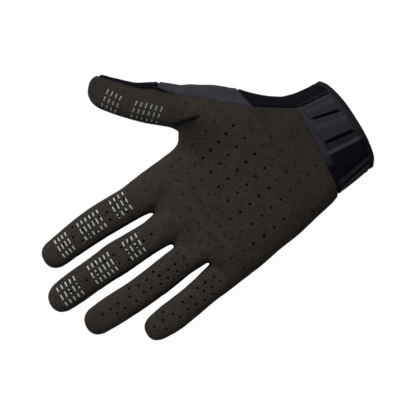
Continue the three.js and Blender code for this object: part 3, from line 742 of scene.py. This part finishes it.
# Perforations: radii in the palm's middle, on the rest of it, at its edge and on the fingers
MIDDLE_RADIUS, PALM_RADIUS, EDGE_RADIUS, FINGER_RADIUS = 0.92, 0.66, 0.62, 0.86
MIDDLE_FROM, MIDDLE_TO = -24, 12  # Y of the palm's middle
PIN_DEPTH, PIN_SIDES = 6.4, 12
# A column on the palm: x at y 0, lean, bend, y of hole 0, pitch, first, last
PALM_HOLES = [
    (-33.7, 0.107, 0.0021, 0.85, 8.74, -3, 4), (-22.2, 0.119, 0.0009, 3.5, 8.5, -7, 4),
    (-10.8, 0.129, 0.001, 5.9, 8.27, -6, 4), (0.65, 0.152, 0.0011, 0.7, 8.2, -5, 5),
    (12, 0.169, 0.001, 0.95, 8.07, -5, 5), (23.4, 0.209, 0.0018, 0.3, 7.85, -4, 4),
    (34.6, 0.243, 0.0014, 0.7, 7.3, -3, 4),
]
EDGE_HOLES = [
    (61.5, -10), (65, 4), (70, -2), (-45, 24), (-45, 16), (-38.1, -28.8), (-37.8, -36.2),
    (-35.3, -44.8), (-33.5, -53.2), (49.1, -11.1), (46.8, -3.2), (44.9, 2.8), (43.4, 9.7),
    (40.1, 21.9), (38.8, 29.9),
]
FINGER_HOLES = [
    (-21, 122), (-21, 115.5), (-25.7, 113), (-20.5, 109), (-25.7, 106.5), (-20.7, 100),
    (-25.5, 97.5), (-15.5, 97.5), (-23.5, 90.5), (-17.2, 90.7), (-23.5, 84.2), (-17, 84.2),
    (-24.6, 77.3), (-14.8, 77.5), (-19.2, 75.2), (-23.7, 71.2), (-19, 68.2), (-23.2, 63.4),
    (-18.2, 62.2), (-23, 55.6), (-18, 54.8), (-12.7, 56.5), (-46.8, 96.7), (-53, 90.3),
    (-46.1, 89.4), (-41.5, 86.3), (-46.2, 81), (-51, 78), (-49, 70.8), (-42.5, 71.4),
    (-49, 64.3), (-42.5, 65), (-49.9, 57.8), (-44.4, 55.3), (-40, 58), (-39.7, 51.5),
    (-49, 51), (-44.5, 49), (-39.5, 44.3), (-44.5, 42), (33.3, 119), (34, 111.2),
    (28.6, 107), (39.9, 107.7), (34.8, 103.4), (28.9, 100.8), (35.4, 95.7), (29.6, 94.6),
    (36.2, 88.8), (36, 82.6), (30.4, 83.4), (36.8, 75.4), (29.6, 77), (37.8, 68),
    (29.2, 70.6), (3.8, 132), (4.7, 125.4), (4.4, 118.7), (4.9, 110.1), (10.3, 107.9),
    (8.5, 101.4), (9, 94.3), (2.3, 93.6), (0.8, 87.3), (10.8, 87.1), (6.1, 85), (1.6, 80.3),
    (10.8, 80.7), (6.2, 78.3), (6.5, 71.8), (7.4, 64.8),
]


def hole_places():
    """Each perforation's place in plan and radius."""
    places = []
    for x0, lean, bend, start, pitch, first, last in PALM_HOLES:
        for i in range(first, last + 1):
            y = start + i * pitch + 0.03 * i * i
            radius = MIDDLE_RADIUS if MIDDLE_FROM < y < MIDDLE_TO else PALM_RADIUS
            places.append((x0 - lean * y + bend * y * y, y, radius))
    places += [(x, y, EDGE_RADIUS) for x, y in EDGE_HOLES]
    places += [(x, y, FINGER_RADIUS) for x, y in FINGER_HOLES]
    return places


holes = hole_places()


def drop_on(surface, x, y):
    """Where a place in plan meets the top of the skin, and the normal there."""
    return surface.ray_cast(Vector((x, y, ABOVE)), Vector((0, 0, -1)))[:2]


def hole_cutters(surface):
    """Small pins where the perforations go, square to the cloth."""
    bm = bmesh.new()
    for k, (x, y, size) in enumerate(holes):
        hit, normal = drop_on(surface, x, y)
        if hit is None:
            continue
        radius = size * (1 + 0.08 * math.sin(12.9 * k))
        turn = normal.to_track_quat("Z", "Y").to_matrix().to_4x4()
        bmesh.ops.create_cone(
            bm, cap_ends=True, segments=PIN_SIDES, radius1=radius, radius2=radius,
            depth=PIN_DEPTH, matrix=Matrix.Translation(hit) @ turn)
    return object_from(mesh_from(bm, "pins"), "pins")


# Silicone dashes: first and last row's middle in plan, rows, dashes as steps across the
# row with their lengths, and the turn of the row in degrees
GRIPS = [
    ((32.1, 123.3), (33.0, 114.7), 4, [(-5.4, 3.6), (0.2, 4.4), (5.4, 3.5)], 0),
    ((34.2, 104.3), (34.8, 88.3), 6, [(-5.5, 3.4), (0, 4.4), (5.2, 3.4)], 0),
    ((35.4, 77.6), (36.3, 67.2), 4, [(-5.7, 3.9), (0, 4.4), (5.2, 3.4)], 0),
    ((3.4, 139), (4.2, 125.5), 5, [(-5.4, 3.5), (0, 4.6), (5.8, 4)], 0),
    ((5, 113.6), (5.8, 97.4), 6, [(-5.5, 3.6), (0, 4.6), (5.8, 3.9)], 0),
    ((6.3, 84.9), (6.8, 74.6), 4, [(-5.6, 3.6), (0, 4.5), (5.7, 3.9)], 0),
    ((102.3, 43.4), (93.8, 38.2), 4, [(-4.4, 3.2), (0.1, 3.9), (5.2, 4)], -54),
    ((85.2, 30.8), (72.6, 18.4), 6, [(-4.2, 2.9), (0.2, 3.7), (5, 4)], -52),
]
DASH_WIDTH, DASH_HEIGHT, DASH_SINK = 1.0, 0.5, 0.22
DASH_TRIM = 0.3  # off each length in the table
DASH_ROUNDING = 0.24
LEFT_FAN, RIGHT_FAN = 5, -4  # turn of a row's outer dashes, in degrees
THUMB_DASHES_FROM = 60  # X past which a dash is on the thumb
THREAD_RADIUS, THREAD_RISE, THREAD_TURN = 0.2, 0.05, 7
REACH = 3  # how far over the skin a small piece's points start


def rounded_bar(bm, length, width, height):
    """A printed dash: a round-ended bar with a soft upper edge, lying along X."""
    made = bmesh.ops.create_circle(bm, cap_ends=True, segments=16, radius=width / 2)["verts"]
    for v in made:
        v.co.x += math.copysign((length - width) / 2, v.co.x) if abs(v.co.x) > 1e-6 else 0
    face = made[0].link_faces[0]
    raised = bmesh.ops.extrude_face_region(bm, geom=[face])["geom"]
    top = [g for g in raised if isinstance(g, bmesh.types.BMVert)]
    bmesh.ops.translate(bm, verts=top, vec=(0, 0, height))
    cap = next(g for g in raised if isinstance(g, bmesh.types.BMFace))
    bmesh.ops.bevel(bm, geom=list(cap.edges), offset=DASH_ROUNDING, offset_type="OFFSET",
                    segments=3, profile=0.5, affect="EDGES", material=-1, clamp_overlap=True)


def dash_mesh(surface):
    """All the dashes, laid on the skin."""
    whole = bmesh.new()
    for start, stop, rows, dashes, turn in GRIPS:
        a = math.radians(turn)
        for row in range(rows):
            t = row / (rows - 1)
            cx = start[0] + (stop[0] - start[0]) * t
            cy = start[1] + (stop[1] - start[1]) * t
            for step, length in dashes:
                bar = bmesh.new()
                rounded_bar(bar, length - DASH_TRIM, DASH_WIDTH, DASH_HEIGHT)
                fan = math.radians(LEFT_FAN if step < -1 else RIGHT_FAN if step > 1 else 0)
                x0 = cx + step * math.cos(a)
                y0 = cy + step * math.sin(a) - 0.03 * abs(step)
                place_on(bar, surface, x0, y0, a + fan, DASH_SINK)
                add_mesh(whole, bar)
    bmesh.ops.recalc_face_normals(whole, faces=whole.faces)
    return whole


def place_on(bm, surface, x0, y0, turn, sink):
    """Lays a small piece on the skin: each point follows the surface under it."""
    hit, normal = drop_on(surface, x0, y0)
    along = Vector((math.cos(turn), math.sin(turn), 0))
    along = (along - normal * along.dot(normal)).normalized()
    side = normal.cross(along)
    for v in bm.verts:
        spot = hit + along * v.co.x + side * v.co.y + normal * REACH
        down = surface.ray_cast(spot, -normal)[0]
        base = down if down is not None else spot - normal * REACH
        v.co = base + normal * (v.co.z - sink)


def stitch_line(whole, surface, line, pitch, length):
    """A row of stitches: short rounded threads that lie along a line on the skin."""
    points = [Vector((*p, 0)) for p in line]
    carried = 0.0
    for a, b in zip(points, points[1:]):
        gap = (b - a).length
        if gap < 1e-6:
            continue
        along = (b - a) / gap
        while carried < gap:
            spot = a + along * carried
            thread = bmesh.new()
            bmesh.ops.create_uvsphere(thread, u_segments=6, v_segments=5, radius=1)
            stretch = Matrix.Diagonal((length / 2, THREAD_RADIUS, THREAD_RADIUS, 1))
            bmesh.ops.transform(thread, matrix=stretch, verts=thread.verts)
            if drop_on(surface, spot.x, spot.y)[0] is not None:
                turn = math.atan2(along.y, along.x) + math.radians(THREAD_TURN)
                place_on(thread, surface, spot.x, spot.y, turn, -THREAD_RISE)
                add_mesh(whole, thread)
            else:
                thread.free()
            carried += pitch
        carried -= gap


def beside(line, offset):
    """A line in plan moved sideways, to its left."""
    out = []
    for i, p in enumerate(line):
        a, b = line[max(0, i - 1)], line[min(len(line) - 1, i + 1)]
        dx, dy = b[0] - a[0], b[1] - a[1]
        size = math.hypot(dx, dy)
        out.append((p[0] - dy / size * offset, p[1] + dx / size * offset))
    return out


# Finishes


def feed(tree, socket, value):
    """Sets a socket to a value, or links it to the socket given."""
    if isinstance(value, bpy.types.NodeSocket):
        tree.links.new(value, socket)
    else:
        socket.default_value = value


def node(tree, kind, inputs, **settings):
    made = tree.nodes.new("ShaderNode" + kind)
    for key, value in settings.items():
        setattr(made, key, value)
    for key, value in inputs.items():
        feed(tree, made.inputs[key], value)
    return made


def linear(r, g, b):
    """A colour given as the eye sees it, 0 to 255, as the renderer takes it."""
    def one(c):
        c /= 255
        return c / 12.92 if c <= 0.04045 else ((c + 0.055) / 1.055) ** 2.4
    return (one(r), one(g), one(b), 1)


def group_tree(name, takes, gives):
    """A node group, with its named inputs as values to start from and its named outputs."""
    tree = bpy.data.node_groups.new(name, "ShaderNodeTree")
    for label, value in takes.items():
        kind = "NodeSocketColor" if isinstance(value, tuple) else "NodeSocketFloat"
        made = tree.interface.new_socket(label, in_out="INPUT", socket_type=kind)
        made.default_value = value
    for label, kind in gives.items():
        tree.interface.new_socket(label, in_out="OUTPUT", socket_type="NodeSocket" + kind)
    return tree, tree.nodes.new("NodeGroupInput"), tree.nodes.new("NodeGroupOutput")


def maths(tree, operation, *values):
    return node(tree, "Math", dict(enumerate(values)), operation=operation).outputs[0]


def noise_of(tree, vector, scale, detail=3.0, roughness=0.55):
    return node(tree, "TexNoise", {"Vector": vector, "Scale": scale, "Detail": detail,
                                   "Roughness": roughness}).outputs["Fac"]


def blend_colour(tree, factor, a, b):
    return node(tree, "Mix", {0: factor, 6: a, 7: b}, data_type="RGBA").outputs[2]


def scaled_colour(tree, colour, factor):
    return node(tree, "VectorMath", {0: colour, "Scale": factor}, operation="SCALE").outputs[0]


def stretch_of(tree, value, low, high, out_low, out_high):
    """A value eased from one range to another."""
    return node(tree, "MapRange", {0: value, 1: low, 2: high, 3: out_low, 4: out_high},
                interpolation_type="SMOOTHSTEP").outputs[0]


def object_place(tree):
    return tree.nodes.new("ShaderNodeTexCoord").outputs["Object"]


def painted_shade(tree):
    """The tone that paint_shade wrote on the mesh."""
    return node(tree, "Attribute", {}, attribute_name="shade").outputs["Fac"]


def patchy_group():
    """Uneven tone: broad patches and a fine speckle over any base colour."""
    tree, come, leave = group_tree(
        "patchy_tone",
        {"Colour": (0.5, 0.5, 0.5, 1), "Patch Scale": 90.0, "Patch Depth": 0.2,
         "Speckle Scale": 900.0, "Speckle Depth": 0.2},
        {"Colour": "Color"})
    where = object_place(tree)
    gain = 1.0
    for kind, detail in (("Patch", 3), ("Speckle", 2)):
        spots = noise_of(tree, where, come.outputs[kind + " Scale"], detail)
        sway = stretch_of(tree, spots, 0.3, 0.7, -1, 1)
        depth = maths(tree, "MULTIPLY", sway, come.outputs[kind + " Depth"])
        gain = maths(tree, "ADD", depth, gain)
    tree.links.new(scaled_colour(tree, come.outputs["Colour"], gain), leave.inputs["Colour"])
    return tree


def weave_group():
    """Two crossed sets of fine yarns: their height and the dark gaps between them."""
    tree, come, leave = group_tree(
        "crossed_yarns", {"Yarns A": 900.0, "Yarns B": 900.0, "Turn": 0.0, "Wander": 0.4},
        {"Height": "Float", "Gap": "Float"})
    where = object_place(tree)
    spin = node(tree, "VectorRotate", {"Vector": where, "Angle": come.outputs["Turn"]},
                rotation_type="Z_AXIS")
    apart = node(tree, "SeparateXYZ", {0: spin.outputs[0]})
    sway = maths(tree, "MULTIPLY", noise_of(tree, where, 260.0, 2), come.outputs["Wander"])

    def ribs(axis, scale):
        turns = maths(tree, "ADD", maths(tree, "MULTIPLY", axis, scale), sway)
        wave = maths(tree, "SINE", maths(tree, "MULTIPLY", turns, 2 * math.pi))
        return maths(tree, "MULTIPLY", maths(tree, "ADD", wave, 1.0), 0.5)

    rows = ribs(apart.outputs["Y"], come.outputs["Yarns A"])
    lines = ribs(maths(tree, "ADD", apart.outputs["X"], apart.outputs["Z"]),
                 come.outputs["Yarns B"])
    high = maths(tree, "MULTIPLY", rows, lines)
    tree.links.new(high, leave.inputs["Height"])
    tree.links.new(stretch_of(tree, high, 0.0, 0.22, 1, 0), leave.inputs["Gap"])
    return tree


SHEEN_ROUGHNESS = 0.45


def principled(name, values):
    material = bpy.data.materials.new(name)
    material.use_nodes = True
    tree = material.node_tree
    shader = tree.nodes["Principled BSDF"]
    for socket, value in values.items():
        feed(tree, shader.inputs[socket], value)
    return material, tree, shader


def finish(name, roughness, specular, sheen=0.0, sheen_tint=(1, 1, 1, 1)):
    return principled(name, {
        "Roughness": roughness, "Specular IOR Level": specular, "Sheen Weight": sheen,
        "Sheen Roughness": SHEEN_ROUGHNESS, "Sheen Tint": sheen_tint})


def bumped(tree, shader, height, distance, strength, under=None):
    inputs = {"Distance": distance, "Strength": strength, "Height": height}
    if under is not None:
        inputs["Normal"] = under
    normal = node(tree, "Bump", inputs).outputs["Normal"]
    feed(tree, shader.inputs["Normal"], normal)
    return normal


def dressed(tree, shader, colour, height, distance, strength):
    feed(tree, shader.inputs["Base Color"], colour)
    bumped(tree, shader, height, distance, strength)


patchy = patchy_group()
weave = weave_group()


def tone_of(tree, colour, patch_scale, patch_depth, speckle_scale, speckle_depth):
    return node(tree, "Group", {
        "Colour": linear(*colour), "Patch Scale": patch_scale, "Patch Depth": patch_depth,
        "Speckle Scale": speckle_scale, "Speckle Depth": speckle_depth,
    }, node_tree=patchy).outputs["Colour"]


def yarns_of(tree, yarns_a, yarns_b, turn, wander):
    made = node(tree, "Group", {"Yarns A": yarns_a, "Yarns B": yarns_b, "Turn": turn,
                                "Wander": wander}, node_tree=weave)
    return made.outputs["Height"], made.outputs["Gap"]


def suede_finish():
    material, tree, shader = finish("suede", 0.92, 0.1, 0.05, linear(150, 138, 128))
    tone = tone_of(tree, (47, 42, 38), 140.0, 0.12, 1000.0, 0.32)
    # The suede's colour is scaled by its painted shade and painted light.
    feed(tree, shader.inputs["Base Color"], scaled_colour(tree, tone, painted_shade(tree)))
    where = object_place(tree)
    under = bumped(tree, shader, noise_of(tree, where, 480.0, 3, 0.6), 0.0009, 0.7)
    bumped(tree, shader, noise_of(tree, where, 2300.0, 4, 0.7), 0.0003, 0.9, under)
    return material


def knit_finish():
    material, tree, shader = finish("stretch_knit", 0.9, 0.06, 0.02, linear(110, 105, 135))
    tone = tone_of(tree, (15, 14, 23), 70.0, 0.14, 900.0, 0.3)
    height, gap = yarns_of(tree, 1900.0, 1450.0, 0.12, 0.12)
    dressed(tree, shader, blend_colour(tree, gap, tone, linear(9, 9, 12)), height, 0.0002, 0.6)
    return material


def slate_finish():
    material, tree, shader = finish("slate_mesh", 0.85, 0.12, 0.05, linear(150, 150, 165))
    tone = tone_of(tree, (46, 46, 53), 80.0, 0.1, 700.0, 0.2)
    cells = node(tree, "TexVoronoi", {"Vector": object_place(tree), "Scale": 1250.0,
                                      "Randomness": 0.25})
    pore = stretch_of(tree, cells.outputs["Distance"], 0.16, 0.42, 1, 0)
    dressed(tree, shader, blend_colour(tree, pore, tone, linear(28, 28, 33)),
            maths(tree, "SUBTRACT", 1.0, pore), 0.0002, 0.6)
    return material


# The dark colour of the painted shade on the cuff and its hem.
CUFF_SHADE_COLOUR = linear(5, 3, 10)


def cuff_finish():
    material, tree, shader = finish("moulded_cuff", 0.6, 0.06)
    tone = tone_of(tree, (37, 37, 43), 60.0, 0.1, 1100.0, 0.22)
    # Painted shade: the cuff darkens towards the shade colour where its points' shade tone says.
    dark = blend_colour(tree, painted_shade(tree), tone, CUFF_SHADE_COLOUR)
    dressed(tree, shader, dark, noise_of(tree, object_place(tree), 3200.0, 3, 0.6), 0.00012, 0.6)
    return material


def hem_finish():
    material, tree, shader = finish("hem_tape", 0.8, 0.12, 0.04, linear(130, 130, 140))
    tone = tone_of(tree, (33, 32, 38), 90.0, 0.12, 900.0, 0.1)
    height, gap = yarns_of(tree, 980.0, 980.0, 0.785, 0.1)
    gaps = blend_colour(tree, gap, tone, linear(12, 12, 15))
    # Painted shade on the hem's left end, towards the same dark colour.
    dark = blend_colour(tree, painted_shade(tree), gaps, CUFF_SHADE_COLOUR)
    dressed(tree, shader, dark, height, 0.0004, 0.9)
    return material


def silicone_finish():
    material, tree, shader = finish("silicone_print", 0.42, 0.45)
    tone = tone_of(tree, (160, 167, 162), 400.0, 0.06, 2600.0, 0.05)
    # Painted shade: the dashes on the thumb are darkened towards a greyer colour.
    shaded_print = blend_colour(tree, painted_shade(tree), tone, linear(118, 122, 119))
    dressed(tree, shader, shaded_print, noise_of(tree, object_place(tree), 1800.0, 2), 0.0001, 0.5)
    return material


def thread_finish(name, colour):
    material, tree, shader = finish(name, 0.75, 0.12, 0.05, linear(140, 140, 150))
    tone = tone_of(tree, colour, 300.0, 0.15, 2600.0, 0.12)
    dressed(tree, shader, tone, yarns_of(tree, 3200.0, 2600.0, 0.6, 0.3)[0], 0.0001, 0.7)
    return material


# Making the glove

skin = glove_form()
part_skin(skin)
shape_skin(skin)
surface = BVHTree.FromBMesh(skin)

suede = suede_finish()
knit = knit_finish()
slate = slate_finish()
moulded = cuff_finish()
tape = hem_finish()

pins = hole_cutters(surface)
CLOTH_WALL, CUFF_WALL, STRIP_WALL = 1.2, 1.9, 1.0
# Each panel's piece: name, panel, wall, slot, nodes it replaces, finish, fill if padded
PANELS = [
    ("palm_suede", PALM, CLOTH_WALL, "suede", ["palm_panel"], suede, None),
    ("back_knit", BACK, CLOTH_WALL, "knit", ["back_panel"], knit, None),
    ("thumb_back_knit", THUMB_BACK, CLOTH_WALL, "knit", ["thumb_back"], knit, None),
    ("thumb_side_mesh", SLATE, CLOTH_WALL, "mesh", ["thumb_side_panel"], slate, None),
    ("cuff_pads", CUFF, CUFF_WALL, "cuff", ["wrist_cuff"], moulded, 0.85),
    ("cuff_hem", HEM, CUFF_WALL, "cuff", ["wrist_cuff", "back_panel"], tape, None),
    ("little_ring_strip", STRIP_A, STRIP_WALL, "knit", ["little_ring_fourchette"], knit, None),
    ("ring_middle_strip", STRIP_B, STRIP_WALL, "knit", ["ring_middle_fourchette"], knit, None),
    ("middle_index_strip", STRIP_C, STRIP_WALL, "knit", ["middle_index_fourchette"], knit, None),
]
# Painted shade and painted light, written on the points of these panels.
TONES = {PALM: suede_shade_and_light, CUFF: cuff_painted_shade, HEM: cuff_painted_shade}
for name, panel, wall, slot, nodes, material, soft in PANELS:
    mesh = walled(panel_mesh(skin, panel), name, wall, pins if panel == PALM else None)
    if panel in TONES:
        paint_shade(mesh, TONES[panel])
    finish_piece(mesh, name, nodes, material)

pierced = walled(dash_mesh(surface), "grip_dashes", cutters=pins)
paint_shade(pierced, thumb_dash_shade)
finish_piece(pierced, "grip_dashes", ["palm_panel"], silicone_finish())
discard(pins)

heel = [(x, float(heel_seam(x))) for x in np.linspace(-15, 26.5, 60)]
shown_side = [p for p in side_seam if p[0] < 113 and p[1] > -62]
strip_side = [p for p in side_seam if -89 < p[1] < -64]
# Each kind of thread: name, colour, nodes, and its rows as line, pitch, stitch length
THREADS = [
    ("suede_threads", (34, 31, 28), ["palm_panel"], [(beside(shown_side, -1.5), 2.5, 1.7)]),
    ("cuff_threads", (62, 62, 69), ["wrist_cuff"],
     [(beside(heel, -1.5), 2.5, 1.7), (beside(strip_side, -1.3), 2.1, 1.9),
      (beside(strip_side, 1.4), 2.1, 1.9)]),
]
for name, colour, nodes, rows in THREADS:
    threads = bmesh.new()
    for line, pitch, length in rows:
        stitch_line(threads, surface, line, pitch, length)
    bmesh.ops.recalc_face_normals(threads, faces=threads.faces)
    finish_piece(mesh_from(threads, name), name, nodes,
                 thread_finish(name + "_finish", colour))
skin.free()

# Floor, light and camera

FLOOR_DROP = 0.0002  # keeps the floor's face off the glove's flat underside
FLOOR_GLOW, FLOOR_GLOW_SHARE = 1.12, 0.86  # seen by the camera alone
SKY_LIGHT, SKY_SEEN = 0.2, 0.78


def camera_share(tree, share):
    """A share for what the camera sees, and 0 for the light that falls on the glove."""
    ray = tree.nodes.new("ShaderNodeLightPath").outputs["Is Camera Ray"]
    return maths(tree, "MULTIPLY", ray, share)


scene = bpy.context.scene
plane = bmesh.new()
bmesh.ops.create_grid(plane, x_segments=1, y_segments=1, size=3)
bmesh.ops.translate(plane, verts=plane.verts, vec=(0, 0, -FLOOR_DROP))
floor = object_from(mesh_from(plane, "floor"), "floor")
floor_material, floor_tree, floor_shader = principled("pale_floor", {
    "Base Color": (0.45, 0.45, 0.45, 1), "Roughness": 0.9, "Specular IOR Level": 0.1})
glow = node(floor_tree, "Emission", {"Strength": FLOOR_GLOW})
both = node(floor_tree, "MixShader", {0: camera_share(floor_tree, FLOOR_GLOW_SHARE),
                                      1: floor_shader.outputs[0], 2: glow.outputs[0]})
feed(floor_tree, floor_tree.nodes["Material Output"].inputs["Surface"], both.outputs[0])
floor.data.materials.append(floor_material)

world = bpy.data.worlds.new("studio")
world.use_nodes = True
sky_tree = world.node_tree
sky = sky_tree.nodes["Background"]
feed(sky_tree, sky.inputs["Color"], (1, 1, 1, 1))
bright = maths(sky_tree, "ADD", camera_share(sky_tree, SKY_SEEN), SKY_LIGHT)
feed(sky_tree, sky.inputs["Strength"], bright)
scene.world = world


LAMP_AIM = (0.02, 0.02, 0)


def lamp(name, place, size, power):
    light = bpy.data.lights.new(name, "AREA")
    light.shape = "SQUARE"
    light.size = size
    light.energy = power
    made = object_from(light, name)
    made.location = place
    aim = Vector(LAMP_AIM) - Vector(place)
    made.rotation_euler = aim.to_track_quat("-Z", "Y").to_euler()


lamp("key", (1.22, 0.12, 1.1), 0.8, 27.5)
lamp("fill", (0.1, -0.1, 1.8), 1.4, 5.5)

# The camera looks straight down from HEIGHT, and its picture is VIEW_WIDTH wide at VIEW_LEVEL
HEIGHT, VIEW_LEVEL, VIEW_WIDTH = 1.5, 0.012, 0.2829
SENSOR = 36
eye = bpy.data.cameras.new("camera")
eye.sensor_width = SENSOR
eye.lens = SENSOR * (HEIGHT - VIEW_LEVEL) / VIEW_WIDTH
eye.dof.use_dof = False
eye.clip_end = 20
camera = object_from(eye, "camera")
camera.location = (0.0023, 0.023, HEIGHT)
camera.rotation_euler = (0, 0, math.radians(-122))
scene.camera = camera
scene.view_settings.view_transform = "Standard"
